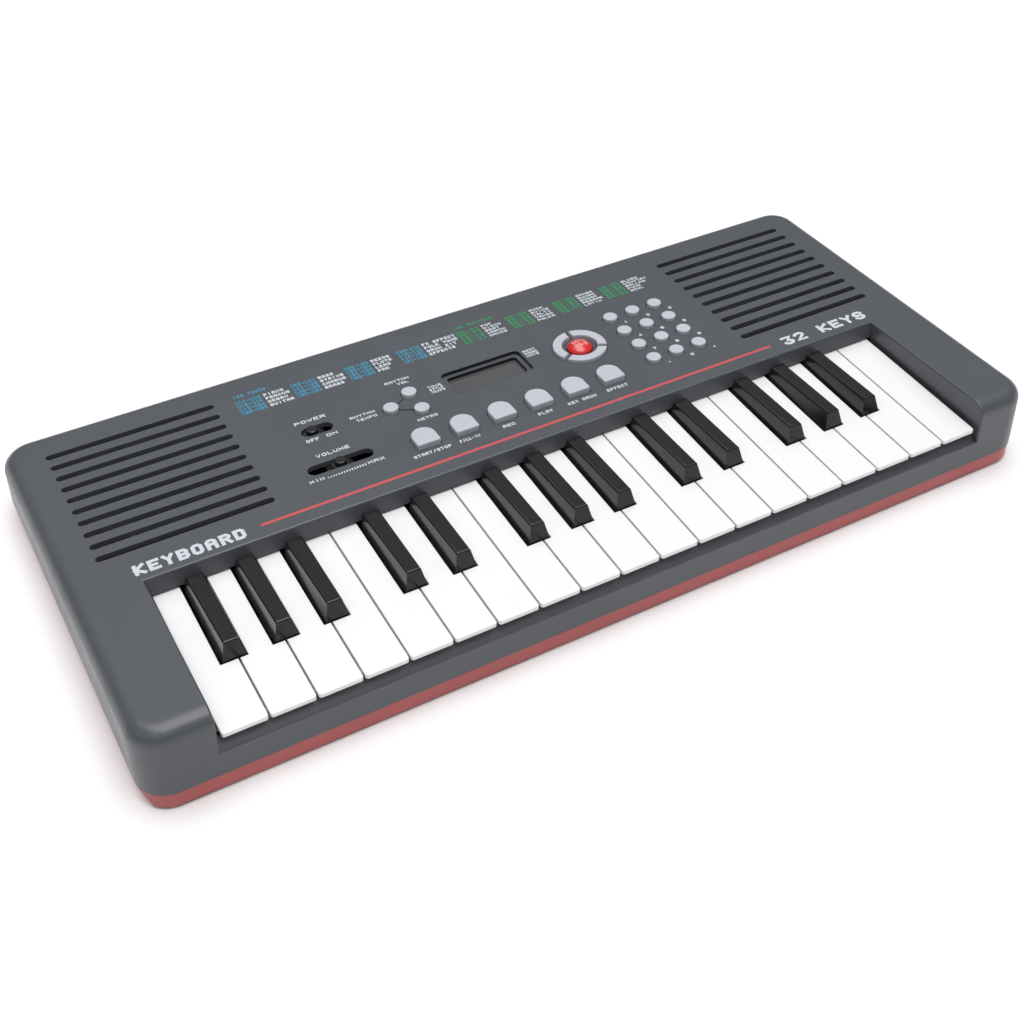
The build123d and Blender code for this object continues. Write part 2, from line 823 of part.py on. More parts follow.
# ---------------------------------------------------------------- speakers
with BuildPart() as speakers:
    speaker_plane = underside
    with BuildSketch(speaker_plane):
        with Locations(*grille_spots):
            Circle(speaker_radius)
    extrude(amount=-speaker_flange)
    with BuildSketch(speaker_plane.offset(-speaker_flange)):
        with Locations(*grille_spots):
            Circle(basket_radius)
    extrude(amount=-basket_depth, taper=basket_taper)
    with BuildSketch(speaker_plane.offset(-speaker_flange - basket_depth)):
        with Locations(*grille_spots):
            Circle(magnet_radius)
    extrude(amount=-magnet_depth)
    with BuildSketch(speaker_plane):
        with Locations(*grille_spots):
            Circle(cone_radius)
    extrude(amount=-cone_depth, mode=Mode.SUBTRACT)
save(speakers.part, "speakers")

# ---------------------------------------------------------------- sliding switches
for slider_name, slider_spot in {
    "power_knob": (slider_x + power_rest, power_y),
    "volume_knob": (slider_x, volume_y),
}.items():
    with BuildPart() as slider:
        with BuildSketch(panel.offset(-carriage_top)):
            with Locations(slider_spot):
                SlotOverall(carriage_length, slider_width - 2 * clearance)
        extrude(amount=carriage_top - button_root)
        with BuildSketch(panel.offset(-carriage_top)):
            with Locations(slider_spot):
                Circle(knob_radius)
        extrude(amount=carriage_top + knob_height)
        fillet(slider.faces().group_by(panel_axis)[-1].edges(), crown)
        with BuildSketch(panel.offset(-button_root)):
            with Locations(slider_spot):
                Rectangle(carriage_bar_length, carriage_bar_width)
        extrude(amount=-carriage_bar_thickness)
        with BuildSketch(panel.offset(-button_root - carriage_bar_thickness)):
            with Locations(slider_spot):
                Rectangle(slider_body_width, slider_body_width)
        extrude(amount=-slider_body_thickness)
        split(bisect_by=Plane.XY.offset(board_top + clearance), keep=Keep.TOP)
    save(slider.part, slider_name)

# ---------------------------------------------------------------- buttons
for function_name, spot in function_spots.items():
    with BuildSketch() as flange:
        with Locations(spot):
            add(arch(clearance + flange_rim))
    press_button(f"{function_name}_button", arch(), flange.sketch, [spot], [spot], function_height)

for rhythm_name, spot in rhythm_spots.items():
    with BuildSketch() as flange:
        with Locations(spot):
            Circle(round_radius + clearance + flange_rim)
    press_button(f"{rhythm_name}_button", disc(round_radius), flange.sketch, [spot], [spot], round_height)

with BuildSketch() as keypad_web:
    with Locations(keypad_centre):
        Rectangle(
            (keypad_columns - 1) * keypad_pitch_x + 2 * keypad_web_margin,
            (keypad_rows - 1) * keypad_pitch_y + 2 * keypad_web_margin,
        )
press_button(
    "number_keypad", disc(round_radius), keypad_web.sketch, keypad_spots, keypad_spots, round_height
)

for start, ring_name in zip(ring_starts, ring_names):
    reach = Vector((ring_outer + ring_inner) / 2, 0).rotate(Axis.Z, start + ring_arc / 2)
    with BuildSketch() as flange:
        with Locations(ring_centre):
            add(ring_third(start, clearance + flange_rim / 2))
    stem_spot = (ring_centre[0] + reach.X, ring_centre[1] + reach.Y)
    press_button(
        f"ring_button_{ring_name}", ring_third(start), flange.sketch, [ring_centre], [stem_spot], ring_height
    )

with BuildSketch() as demo_flange:
    with Locations(ring_centre):
        Circle(demo_flange_radius)
press_button(
    "demo_button", disc(demo_radius), demo_flange.sketch, [ring_centre], [ring_centre],
    demo_height, demo_root, demo_ball,
)


# ---------------------------------------------------------------- keys
def hinge(x, half_length):
    """The bead a key turns on and the flat neck that joins it to the key, in the part that calls this."""
    with Locations((x, pivot_y, neck_bottom)):
        Box(
            2 * (half_length - neck_inset), pivot_y - key_rear + skirt_wall, neck_top - neck_bottom,
            align=(Align.CENTER, Align.MAX, Align.MIN),
        )
    with Locations((x, pivot_y, pivot_height)):
        Cylinder(bead_radius, 2 * half_length, rotation=(0, 90, 0))


def leg(x, top):
    """The post under a key that presses its rubber dome."""
    with Locations((x, contact_y, leg_bottom)):
        Box(2 * leg_half, 2 * leg_half, top - leg_bottom, align=(Align.CENTER, Align.CENTER, Align.MIN))


for i, (letter, octave, x) in enumerate(whites):
    left, right = key_span(i)
    half = (white_pitch - key_gap) / 2
    with BuildSketch() as key_outline:
        with Locations((x, key_front)):
            Rectangle(2 * half, key_body_length, align=(Align.CENTER, Align.MIN))
        for edge, side in ((left, Align.MAX), (right, Align.MIN)):
            if abs(edge) < half:
                with Locations((x + edge, key_front + notch_front)):
                    Rectangle(white_pitch, key_body_length, align=(side, Align.MIN), mode=Mode.SUBTRACT)
        fillet(key_outline.vertices().group_by(Axis.Y)[0], white_corner)
    with BuildSketch() as key_skirt:
        add(key_outline.sketch)
        with Locations((x, key_front)):
            Rectangle(white_pitch, 2 * skirt_setback, mode=Mode.SUBTRACT)
        offset(amount=-skirt_wall, kind=Kind.INTERSECTION, mode=Mode.SUBTRACT)
    with BuildPart() as white_key:
        with BuildSketch(Plane.XY.offset(key_top)):
            add(key_outline.sketch)
        extrude(amount=-white_plate)
        fillet(white_key.faces().sort_by(Axis.Z)[-1].edges(), key_edge)
        with BuildSketch(Plane.XY.offset(key_top - white_plate)):
            add(key_skirt.sketch)
        extrude(amount=skirt_bottom - key_top + white_plate)
        with BuildSketch(Plane.YZ.offset(x - white_pitch / 2)):
            with BuildLine():
                Polyline(
                    (key_front, skirt_bottom_front),
                    (key_front + skirt_setback, skirt_bottom_front),
                    (key_front + skirt_ramp_end, skirt_bottom),
                    (key_front, skirt_bottom),
                    close=True,
                )
            make_face()
        extrude(amount=white_pitch, mode=Mode.SUBTRACT)
        leg(x + (left + right) / 2, key_top - white_plate / 2)
        hinge(x + (left + right) / 2, white_half_bead)
    save(white_key.part, f"white_key_{letter.lower()}{octave}")

# A black key is named after the white key on its left, whose sharp it is.
for letter, octave, x in blacks:
    with BuildPart() as black_key:
        with BuildSketch(Plane.YZ.offset(x - black_half_base)):
            with BuildLine():
                Polyline(
                    (cap_front, cap_bottom),
                    (cap_front, key_top),
                    (cap_front + black_front_lean, cap_top),
                    (cap_rear, cap_rear_top),
                    (cap_rear, cap_bottom),
                    close=True,
                )
            make_face()
        extrude(amount=2 * black_half_base)
        with BuildSketch(Plane.XZ.offset(-cap_rear)):
            with BuildLine():
                Polyline(
                    (x - black_half_base, cap_bottom),
                    (x - black_half_base, key_top),
                    (x - black_half_top, cap_top),
                    (x + black_half_top, cap_top),
                    (x + black_half_base, key_top),
                    (x + black_half_base, cap_bottom),
                    close=True,
                )
            make_face()
        extrude(amount=cap_rear - cap_front, mode=Mode.INTERSECT)
        cap_face = black_key.faces().sort_by(Axis.Z)[-1]
        fillet(cap_face.edges().sort_by(Axis.Y)[:-1], black_edge)
        with Locations((x, cap_front + black_edge, skirt_bottom)):
            Box(
                2 * black_half_arm, key_rear - cap_front - black_edge, black_arm_top - skirt_bottom,
                align=(Align.CENTER, Align.MIN, Align.MIN),
            )
        with Locations((x, cap_front + black_shell, skirt_bottom)):
            Box(
                2 * (black_half_arm - skirt_wall),
                key_rear - cap_front - black_shell - skirt_wall,
                black_arm_top - skirt_wall - skirt_bottom,
                align=(Align.CENTER, Align.MIN, Align.MIN),
                mode=Mode.SUBTRACT,
            )
        with Locations((x, cap_front + black_front_lean + skirt_wall, skirt_bottom)):
            Box(
                2 * (black_half_top - skirt_wall),
                cap_rear - cap_front - black_front_lean - 2 * skirt_wall,
                cap_rear_top - black_shell - skirt_bottom,
                align=(Align.CENTER, Align.MIN, Align.MIN),
                mode=Mode.SUBTRACT,
            )
        leg(x, cap_rear_top - black_shell / 2)
        hinge(x, black_half_bead)
    save(black_key.part, f"black_key_{letter.lower()}{octave}")
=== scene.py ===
import json
import math

import bmesh
import bpy
from mathutils import Matrix, Vector


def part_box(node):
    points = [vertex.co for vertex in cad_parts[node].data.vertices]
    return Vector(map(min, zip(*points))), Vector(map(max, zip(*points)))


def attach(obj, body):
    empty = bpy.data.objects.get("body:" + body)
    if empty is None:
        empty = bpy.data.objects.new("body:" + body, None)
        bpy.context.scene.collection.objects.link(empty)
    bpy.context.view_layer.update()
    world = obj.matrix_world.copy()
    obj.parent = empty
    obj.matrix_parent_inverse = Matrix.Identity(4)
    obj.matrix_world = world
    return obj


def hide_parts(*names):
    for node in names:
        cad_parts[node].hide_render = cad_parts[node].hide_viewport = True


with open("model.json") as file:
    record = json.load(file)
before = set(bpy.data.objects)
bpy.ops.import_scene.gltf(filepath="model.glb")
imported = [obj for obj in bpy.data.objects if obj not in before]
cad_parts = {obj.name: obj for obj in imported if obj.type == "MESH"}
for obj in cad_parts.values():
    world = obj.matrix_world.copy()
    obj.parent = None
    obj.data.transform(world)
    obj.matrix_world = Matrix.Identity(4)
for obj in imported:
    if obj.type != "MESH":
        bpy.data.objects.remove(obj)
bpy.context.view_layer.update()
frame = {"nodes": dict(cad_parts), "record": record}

MM = 0.001

# ---------------------------------------------------------------- the panel's plane, as in the CAD
case_low, case_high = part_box("upper_case")
case_width = case_high.x - case_low.x
case_depth = case_high.y - case_low.y
PANEL_FRONT = 44.0 * MM
PANEL_REAR = 33.2 * MM
slope = (PANEL_FRONT - PANEL_REAR) / case_depth
panel_normal = Vector((0, slope, 1)).normalized()
panel_up = Vector((0, 1, -slope)).normalized()
panel_origin = Vector((0, 0, (PANEL_FRONT + PANEL_REAR) / 2))


def on_panel(x, y, height=0.0):
    """A point x and y millimetres along the panel and height millimetres above it."""
    along = Vector((x * MM, 0, 0)) + panel_up * (y * MM)
    return panel_origin + along + panel_normal * (height * MM)


panel_matrix = Matrix(
    (
        (1, 0, 0, panel_origin.x),
        (0, panel_up.y, panel_normal.y, panel_origin.y),
        (0, panel_up.z, panel_normal.z, panel_origin.z),
        (0, 0, 0, 1),
    )
) @ Matrix.Scale(MM, 4)


# ---------------------------------------------------------------- materials
COAT_ROUGHNESS = 0.08
SUBSURFACE_REACH = 1.5
BUMP_STRENGTH = 0.35
CLOUD_SIZE = 45  # millimetres, as the other sizes of a material's pattern
GLOSS_SIZE = 12
SCUFF_SIZE = 7


def new_node(tree, kind, **values):
    node = tree.nodes.new(kind)
    for key, value in values.items():
        if hasattr(node, key):
            setattr(node, key, value)
        else:
            node.inputs[key].default_value = value
    return node


def plastic(
    name,
    colour,
    roughness,
    mottle=0.05,
    sheen_spread=0.05,
    grain=0.25,
    grain_depth=0.03,
    scuff=0.0,
    specular=0.5,
    coat=0.0,
    metallic=0.0,
    subsurface=0.0,
):
    """Moulded plastic, metal or ink: cloudy tone, uneven gloss, a fine grain and light scuffs.
    mottle and sheen_spread say how much tone and roughness vary; grain and grain_depth are the size
    and depth of the surface texture in millimetres."""
    material = bpy.data.materials.new(name)
    material.use_nodes = True
    tree = material.node_tree
    shader = tree.nodes["Principled BSDF"]
    shader.inputs["Specular IOR Level"].default_value = specular
    shader.inputs["Coat Weight"].default_value = coat
    shader.inputs["Coat Roughness"].default_value = COAT_ROUGHNESS
    shader.inputs["Metallic"].default_value = metallic
    if subsurface:
        shader.inputs["Subsurface Weight"].default_value = subsurface
        shader.inputs["Subsurface Scale"].default_value = SUBSURFACE_REACH * MM
    place = new_node(tree, "ShaderNodeTexCoord").outputs["Object"]
    link = tree.links.new

    def noise(size_mm, detail=2.0, roughness_=0.5):
        node = new_node(tree, "ShaderNodeTexNoise", Scale=1 / (size_mm * MM), Detail=detail)
        node.inputs["Roughness"].default_value = roughness_
        link(place, node.inputs["Vector"])
        return node.outputs["Fac"]

    def spread(source, low, high, from_low=0.3, from_high=0.7):
        node = new_node(tree, "ShaderNodeMapRange")
        for socket, value in zip(
            ("From Min", "From Max", "To Min", "To Max"), (from_low, from_high, low, high)
        ):
            node.inputs[socket].default_value = value
        link(source, node.inputs["Value"])
        return node.outputs["Result"]

    def blend(factor, first, second):
        node = tree.nodes.new("ShaderNodeMix")
        node.data_type = "RGBA"
        link(factor, node.inputs["Factor"])
        for socket, value in (("A", first), ("B", second)):
            target = [s for s in node.inputs if s.name == socket and s.type == "RGBA"][0]
            if isinstance(value, tuple):
                target.default_value = (*value, 1)
            else:
                link(value, target)
        return [s for s in node.outputs if s.type == "RGBA"][0]

    def tone(amount):
        return tuple(min(1.0, c * amount) for c in colour)

    clouds = noise(CLOUD_SIZE, 4, 0.6)
    tint = blend(spread(clouds, 0, 1), tone(1 - mottle), tone(1 + mottle))
    specks = noise(grain * 2.2, 2, 0.6)
    tint = blend(spread(specks, 0, 0.5), tint, tone(1 - 1.6 * mottle))
    if scuff:
        marks = spread(noise(SCUFF_SIZE, 8, 0.75), 0, scuff, 0.62, 0.72)
        tint = blend(marks, tint, tuple(min(1.0, c * 1.3 + 0.02) for c in colour))
    link(tint, shader.inputs["Base Color"])
    gloss = spread(noise(GLOSS_SIZE, 5, 0.65), roughness - sheen_spread, roughness + sheen_spread)
    link(gloss, shader.inputs["Roughness"])
    bump = new_node(tree, "ShaderNodeBump")
    bump.inputs["Strength"].default_value = BUMP_STRENGTH
    bump.inputs["Distance"].default_value = grain_depth * MM
    link(noise(grain, 3, 0.6), bump.inputs["Height"])
    link(bump.outputs["Normal"], shader.inputs["Normal"])
    return material


INK = dict(roughness=0.5, mottle=0.04, grain=0.3, grain_depth=0.01)
materials = {
    "case_grey": plastic(
        "case_grey", (0.0715, 0.0765, 0.087), 0.34,
        mottle=0.05, grain=0.35, grain_depth=0.05, scuff=0.12,
    ),
    "base_red": plastic(
        "base_red", (0.42, 0.08, 0.08), 0.38, grain=0.6, grain_depth=0.02, scuff=0.15
    ),
    "key_white": plastic(
        "key_white", (0.79, 0.79, 0.785), 0.2, mottle=0.01, grain=1.5, grain_depth=0.008, coat=0.3
    ),
    "key_black": plastic(
        "key_black", (0.009, 0.0085, 0.009), 0.2,
        mottle=0.1, grain=1.2, grain_depth=0.01, scuff=0.04,
    ),
    "button_silver": plastic(
        "button_silver", (0.46, 0.48, 0.53), 0.5,
        mottle=0.03, grain=0.25, grain_depth=0.03, subsurface=0.1,
    ),
    "knob_dark": plastic("knob_dark", (0.009, 0.01, 0.011), 0.28, grain=0.3, grain_depth=0.02),
    "demo_red": plastic(
        "demo_red", (0.62, 0.012, 0.01), 0.24,
        mottle=0.04, grain=1.0, grain_depth=0.01, coat=0.5, subsurface=0.1,
    ),
    "window_plastic": plastic(
        "window_plastic", (0.066, 0.068, 0.072), 0.12,
        mottle=0.06, grain=2.5, grain_depth=0.004, coat=0.6,
    ),
    "lcd_module": plastic("lcd_module", (0.2, 0.22, 0.19), 0.3),
    "circuit_board": plastic("circuit_board", (0.01, 0.035, 0.016), 0.4, grain=0.8),
    "rubber_grey": plastic("rubber_grey", (0.2, 0.2, 0.2), 0.7),
    "rubber_black": plastic(
        "rubber_black", (0.018, 0.018, 0.018), 0.75, grain=0.4, grain_depth=0.05
    ),
    "speaker_black": plastic(
        "speaker_black", (0.008, 0.008, 0.009), 0.7, grain=0.5, grain_depth=0.05
    ),
    "screw_steel": plastic("screw_steel", (0.55, 0.55, 0.54), 0.32, metallic=1.0, grain=0.2),
    "contact_steel": plastic("contact_steel", (0.6, 0.6, 0.58), 0.25, metallic=1.0, grain=0.3),
    "print_light": plastic("print_light", (0.55, 0.59, 0.63), **INK),
    "print_pink": plastic("print_pink", (0.80, 0.36, 0.32), **INK),
    "print_red": plastic("print_red", (0.5, 0.075, 0.08), **INK),
    "print_blue": plastic("print_blue", (0.045, 0.21, 0.32), **INK),
    "print_green": plastic("print_green", (0.03, 0.20, 0.08), **INK),
}
slot_of = {row["node"]: row["material_slot"] for row in frame["record"]["subparts"]}
body_of = {
    node: body
    for body, nodes in frame["record"]["behaviour"]["bodies"].items()
    for node in nodes
}


# ---------------------------------------------------------------- pieces
def finish_piece(name, mesh_data, material, body):
    """Turns a bmesh into a piece of that material, which rides on that body."""
    mesh = bpy.data.meshes.new(name)
    mesh_data.to_mesh(mesh)
    mesh_data.free()
    mesh.materials.append(materials[material])
    piece = bpy.data.objects.new(name, mesh)
    bpy.context.scene.collection.objects.link(piece)
    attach(piece, body)
    return piece


def smooth(piece, angle=38):
    """Smooth shading that keeps flat faces flat and edges sharper than the angle crisp."""
    mesh = piece.data
    mesh.shade_smooth()
    mesh.set_sharp_from_angle(angle=math.radians(angle))
    weighted = piece.modifiers.new("weighted", "WEIGHTED_NORMAL")
    weighted.keep_sharp = True
    weighted.weight = 80


WELD_DISTANCE = 1e-6
FLAT_ANGLE = 0.3  # degrees between faces that count as one flat face


def soften(node, width, segments=2, angle=30):
    """A copy of a CAD node with its sharp edges rounded over, which stands for that node."""
    source = frame["nodes"][node]
    shape = bmesh.new()
    shape.from_mesh(source.data)
    bmesh.ops.remove_doubles(shape, verts=shape.verts, dist=WELD_DISTANCE)
    bmesh.ops.dissolve_limit(
        shape,
        angle_limit=math.radians(FLAT_ANGLE),
        verts=shape.verts,
        edges=shape.edges,
        delimit={"NORMAL"},
    )
    sharp = [
        edge
        for edge in shape.edges
        if len(edge.link_faces) == 2 and edge.calc_face_angle(0) > math.radians(angle)
    ]
    bmesh.ops.bevel(
        shape,
        geom=sharp,
        offset=width * MM,
        offset_type="OFFSET",
        segments=segments,
        profile=0.5,
        affect="EDGES",
        clamp_overlap=True,
    )
    piece = finish_piece(f"{node}_shape", shape, slot_of[node], body_of[node])
    smooth(piece)
    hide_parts(node)
    return piece


for node, thing in frame["nodes"].items():
    thing.data.materials.clear()
    thing.data.materials.append(materials[slot_of[node]])

for node in slot_of:
    if node.startswith("black_key"):
        soften(node, 0.45, segments=3)
for node, edge in (
    ("lower_case", 0.25), ("battery_door", 0.25), ("upper_case", 0.22),
    ("power_knob", 0.3), ("volume_knob", 0.3),
):
    soften(node, edge)


# ---------------------------------------------------------------- printing on the panel
INK_BOTTOM = -0.01
INK_TOP = 0.045
LAYER_FALL = 0.01  # how far the top of an open stroke falls, so that it can cross itself
LAYER_STEP = 0.013  # between the tops of a letter's strokes, so that they can cross
MITRE_LIMIT = 0.6
# Capital letters and figures as strokes on a grid four wide and six high: points "xy", with "/"
# between strokes.
STROKES = {
    "A": "00 05 16 36 45 40/03 43",
    "B": "00 06 36 45 44 33 03/33 42 41 30 00",
    "C": "45 36 16 05 01 10 30 41",
    "D": "00 06 36 45 41 30 00",
    "E": "46 06 00 40/03 33",
    "F": "46 06 00/03 33",
    "G": "45 36 16 05 01 10 30 41 43 23",
    "H": "00 06/40 46/03 43",
    "I": "20 26",
    "J": "46 41 30 10 01",
    "K": "00 06/46 03 40",
    "L": "06 00 40",
    "M": "00 06 22 46 40",
    "N": "00 06 40 46",
    "O": "10 01 05 16 36 45 41 30 10",
    "P": "00 06 36 45 44 33 03",
    "R": "00 06 36 45 44 33 03/23 40",
    "S": "45 36 16 05 04 13 33 42 41 30 10 01",
    "T": "06 46/26 20",
    "U": "06 01 10 30 41 46",
    "V": "06 20 46",
    "W": "06 10 24 30 46",
    "X": "00 46/06 40",
    "Y": "06 23 46/23 20",
    "Z": "06 46 00 40",
    "0": "10 01 05 16 36 45 41 30 10",
    "1": "15 26 20",
    "2": "05 16 36 45 44 00 40",
    "3": "06 46 23 33 42 41 30 10 01",
    "4": "30 36 02 42",
    "5": "46 06 03 33 42 41 30 10 01",
    "6": "45 36 16 05 01 10 30 41 42 33 03",
    "7": "06 46 20",
    "8": "13 04 05 16 36 45 44 33 13 02 01 10 30 41 42 33",
    "9": "01 10 30 41 45 36 16 05 04 13 43",
    "-": "13 33",
    "+": "13 33/22 24",
    "/": "00 46",
    " ": "",
}
GLYPH_WIDE = 4
GLYPH_HIGH = 6
LETTER_GAP = 0.18  # between letters, as a part of the step from one to the next


def add_prism(ink, outline, top=INK_TOP):
    """Adds a thin closed solid with that outline in millimetres on the panel."""
    low = [ink.verts.new(on_panel(x, y, INK_BOTTOM)) for x, y in outline]
    high = [ink.verts.new(on_panel(x, y, top)) for x, y in outline]
    ink.faces.new(reversed(low))
    ink.faces.new(high)
    for i in range(len(outline)):
        j = (i + 1) % len(outline)
        ink.faces.new((low[i], low[j], high[j], high[i]))


def add_block(ink, x0, x1, y0, y1):
    add_prism(ink, ((x0, y0), (x1, y0), (x1, y1), (x0, y1)))


def add_stroke(ink, points, thick, top):
    """A ribbon of even thickness along the points, as a closed solid. One that ends where it starts
    is a ring; any other reaches half its thickness past its two ends."""
    path = [Vector(p) for p in points]
    ring = path[0] == path[-1]
    if ring:
        path.pop()
        before = [path[-1]] + path[:-1]
        after = path[1:] + [path[0]]
    else:
        path[0] += (path[0] - path[1]).normalized() * (thick / 2)
        path[-1] += (path[-1] - path[-2]).normalized() * (thick / 2)
        before = [2 * path[0] - path[1]] + path[:-1]
        after = path[1:] + [2 * path[-1] - path[-2]]
    sections = []
    fall = 0 if ring else LAYER_FALL / len(path)
    for last, here, following in zip(before, path, after):
        coming = (here - last).normalized()
        going = (following - here).normalized()
        side = Vector((-coming.y, coming.x))
        middle = (side + Vector((-going.y, going.x))).normalized()
        reach = middle * (thick / 2 / max(MITRE_LIMIT, middle.dot(side)))
        sections.append(
            [
                ink.verts.new(on_panel(*corner, height))
                for corner, height in (
                    (here + reach, INK_BOTTOM), (here - reach, INK_BOTTOM),
                    (here - reach, top), (here + reach, top),
                )
            ]
        )
        top -= fall
    for i in range(0 if ring else 1, len(sections)):
        first, second = sections[i - 1], sections[i]
        for k in range(4):
            ink.faces.new((first[k], first[k - 1], second[k - 1], second[k]))
    if not ring:
        ink.faces.new(sections[0])
        ink.faces.new(reversed(sections[-1]))


def add_words(ink, words, x, y, height, step, weight=0.2, top=INK_TOP):
    """Adds words from x to the right, height tall around y, with step millimetres to a letter.
    weight is the stroke's thickness as a part of the height."""
    thick = weight * height
    wide = ((1 - LETTER_GAP) * step - thick) / GLYPH_WIDE
    high = (height - thick) / GLYPH_HIGH
    for letter in words:
        for layer, stroke in enumerate(filter(None, STROKES[letter].split("/"))):
            points = [
                (x + thick / 2 + int(p[0]) * wide, y - height / 2 + thick / 2 + int(p[1]) * high)
                for p in stroke.split()
            ]
            add_stroke(ink, points, thick, top - layer * LAYER_STEP)
        x += step


def add_label(ink, words, x0, x1, y, height, weight=0.2, top=INK_TOP):
    """Adds words that fill x0 to x1."""
    step = (x1 - x0) / (len(words) - LETTER_GAP)
    add_words(ink, words, x0, y, height, step, weight, top)


# Words with their left and right ends, the place of their middle and their letters' height.
LABELS = [
    ("POWER", -98, -82.5, 50.5, 2.4),
    ("OFF", -98, -91.6, 35.2, 2.3),
    ("ON", -88, -82.5, 35.2, 2.3),
    ("VOLUME", -98.4, -82, 22.4, 2.4),
    ("MIN", -108, -101, 6.1, 2.2),
    ("MAX", -79.7, -71.5, 6.1, 2.2),
    ("START/STOP", -60, -41, -1.3, 2.1),
    ("FILL-IN", -36.5, -26, -1.2, 2.1),
    ("REC", -14, -7.5, -1.3, 2.1),
    ("PLAY", 5, 12.8, -1.3, 2.1),
    ("KEY DRUM", 21.3, 36.9, -1.3, 2.1),
    ("EFFECT", 43, 54.6, -1.3, 2.1),
    ("RHYTHM", -47.8, -35, 59.0, 2.0),
    ("VOL", -42.5, -36.6, 56.0, 2.0),
    ("RHYTHM", -73.5, -60.8, 41.6, 2.0),
    ("TEMPO", -71.5, -61, 38.2, 2.0),
    ("METRO", -46.5, -36, 24.0, 2.0),
]
BIG_LABELS = [("KEYBOARD", -193.6, -144.6, -11.2, 7.0), ("32 KEYS", 141.5, 193.0, -10.6, 7.0)]
# Lines one under another: left and right ends, the middle line's place and the step between lines.
STACKS = [
    (("TONE", "STYLE", "TEMPO"), -31, -23.8, 43.2, 2.3),
    (("BEAT", "CHORD", "NOTE"), 23.4, 30.4, 47.0, 2.3),
]
TONES = (
    ("PIANO", "PERCUS", "ORGAN", "GUITAR"),
    ("BASS", "STRING", "CHORUS", "BRASS"),
    ("REEDS", "FLUTE", "LEAD", "PAD"),
    ("FX EFFECT", "FOLK TUNE", "DRUM KIT", "EFFECTS"),
)
RHYTHMS = (
    ("POP", "DISCO", "BEAT", "MARCH", "DANCE"),
    ("ROCK", "SWING", "WALTZ", "TANGO", "POLKA"),
    ("SAMBA", "RUMBA", "BOSSA", "REGGAE", "LATIN"),
    ("BLUES", "COUNTRY", "BALLAD", "FUNK", "SOUL"),
)
LIST_PITCH = 28.1
LIST_TOP = 82.4
LIST_BOTTOM = 69.8
CODE_WIDTH = 12.6
WORD_X = 14.2
WORD_STEP = 2.08
WORD_WEIGHT = 0.26
CODE_FILL = 0.86  # a code's height as a part of the step between lines
WORD_FILL = 0.72


def add_lists(code_ink, word_ink, lists, x, first, per_line, figures, weight):
    """Columns of coloured number ranges with the words they stand for beside them."""
    for lines in lists:
        pitch = (LIST_TOP - LIST_BOTTOM) / len(lines)
        for i, words in enumerate(lines):
            y = LIST_TOP - (i + 0.5) * pitch
            code = f"{first:0{figures}d}-{first + per_line - 1:0{figures}d}"
            add_label(code_ink, code, x, x + CODE_WIDTH, y, CODE_FILL * pitch, weight)
            add_words(word_ink, words, x + WORD_X, y, WORD_FILL * pitch, WORD_STEP, WORD_WEIGHT)
            first += per_line
        x += LIST_PITCH


LABEL_WEIGHT = 0.24
BIG_WEIGHT = 0.25
STACK_FILL = 0.78  # a line's height as a part of the step between lines
KEYPAD_FIGURES = "123456789-0+"
KEYPAD_X = 81.7
KEYPAD_Y = 46.4
KEYPAD_STEP_X = 13.45
KEYPAD_STEP_Y = 14.1
FIGURE_HEIGHT = 2.1
FIGURE_STEP = 2.2
HEADING_Y = 85.9
HEADING_HEIGHT = 2.5
HEADING_WEIGHT = 0.28
VOLUME_MARKS = 15  # short bars beside the volume slot, each taller than the last
VOLUME_MARK_X = -99.6
VOLUME_MARK_Y = 5.0
VOLUME_MARK_STEP = 1.3
VOLUME_MARK_WIDE = 0.7
VOLUME_MARK_HIGH = 0.7
VOLUME_MARK_GROWTH = 0.07
DOTS = 60  # dotted line between the two headings
DOT_X = -94.7
DOT_Y = 86.2
DOT_STEP = 1.6
DOT_WIDE = 0.55
DOT_HIGH = 0.4

light_ink = bmesh.new()
for words, x0, x1, y, height in LABELS:
    add_label(light_ink, words, x0, x1, y, height, LABEL_WEIGHT)
for words, x0, x1, y, height in BIG_LABELS:
    add_label(light_ink, words, x0, x1, y, height, BIG_WEIGHT)
for lines, x0, x1, y, pitch in STACKS:
    for i, words in enumerate(lines):
        add_label(light_ink, words, x0, x1, y + (1 - i) * pitch, STACK_FILL * pitch, LABEL_WEIGHT)
for i, figure in enumerate(KEYPAD_FIGURES):
    row, column = divmod(i, 3)
    x = KEYPAD_X + column * KEYPAD_STEP_X
    y = KEYPAD_Y - row * KEYPAD_STEP_Y
    add_words(light_ink, figure, x, y, FIGURE_HEIGHT, FIGURE_STEP, HEADING_WEIGHT)
for i in range(VOLUME_MARKS):
    x = VOLUME_MARK_X + i * VOLUME_MARK_STEP
    top = VOLUME_MARK_Y + VOLUME_MARK_HIGH + i * VOLUME_MARK_GROWTH
    add_block(light_ink, x, x + VOLUME_MARK_WIDE, VOLUME_MARK_Y, top)

blue_ink = bmesh.new()
add_label(blue_ink, "128 TONES", -115.6, -99, HEADING_Y, HEADING_HEIGHT, HEADING_WEIGHT)
add_lists(blue_ink, light_ink, TONES, -116.1, first=1, per_line=8, figures=3, weight=0.4)
for i in range(DOTS):
    x = DOT_X + i * DOT_STEP
    add_block(blue_ink, x, x + DOT_WIDE, DOT_Y, DOT_Y + DOT_HIGH)

green_ink = bmesh.new()
add_label(green_ink, "100 RHYTHMS", 1.8, 25, HEADING_Y, HEADING_HEIGHT, HEADING_WEIGHT)
add_lists(green_ink, light_ink, RHYTHMS, 1.9, first=0, per_line=5, figures=2, weight=0.42)

RED_LINE = (-137.3, 133.9, -11.15, -9.45)
red_ink = bmesh.new()
add_block(red_ink, *RED_LINE)

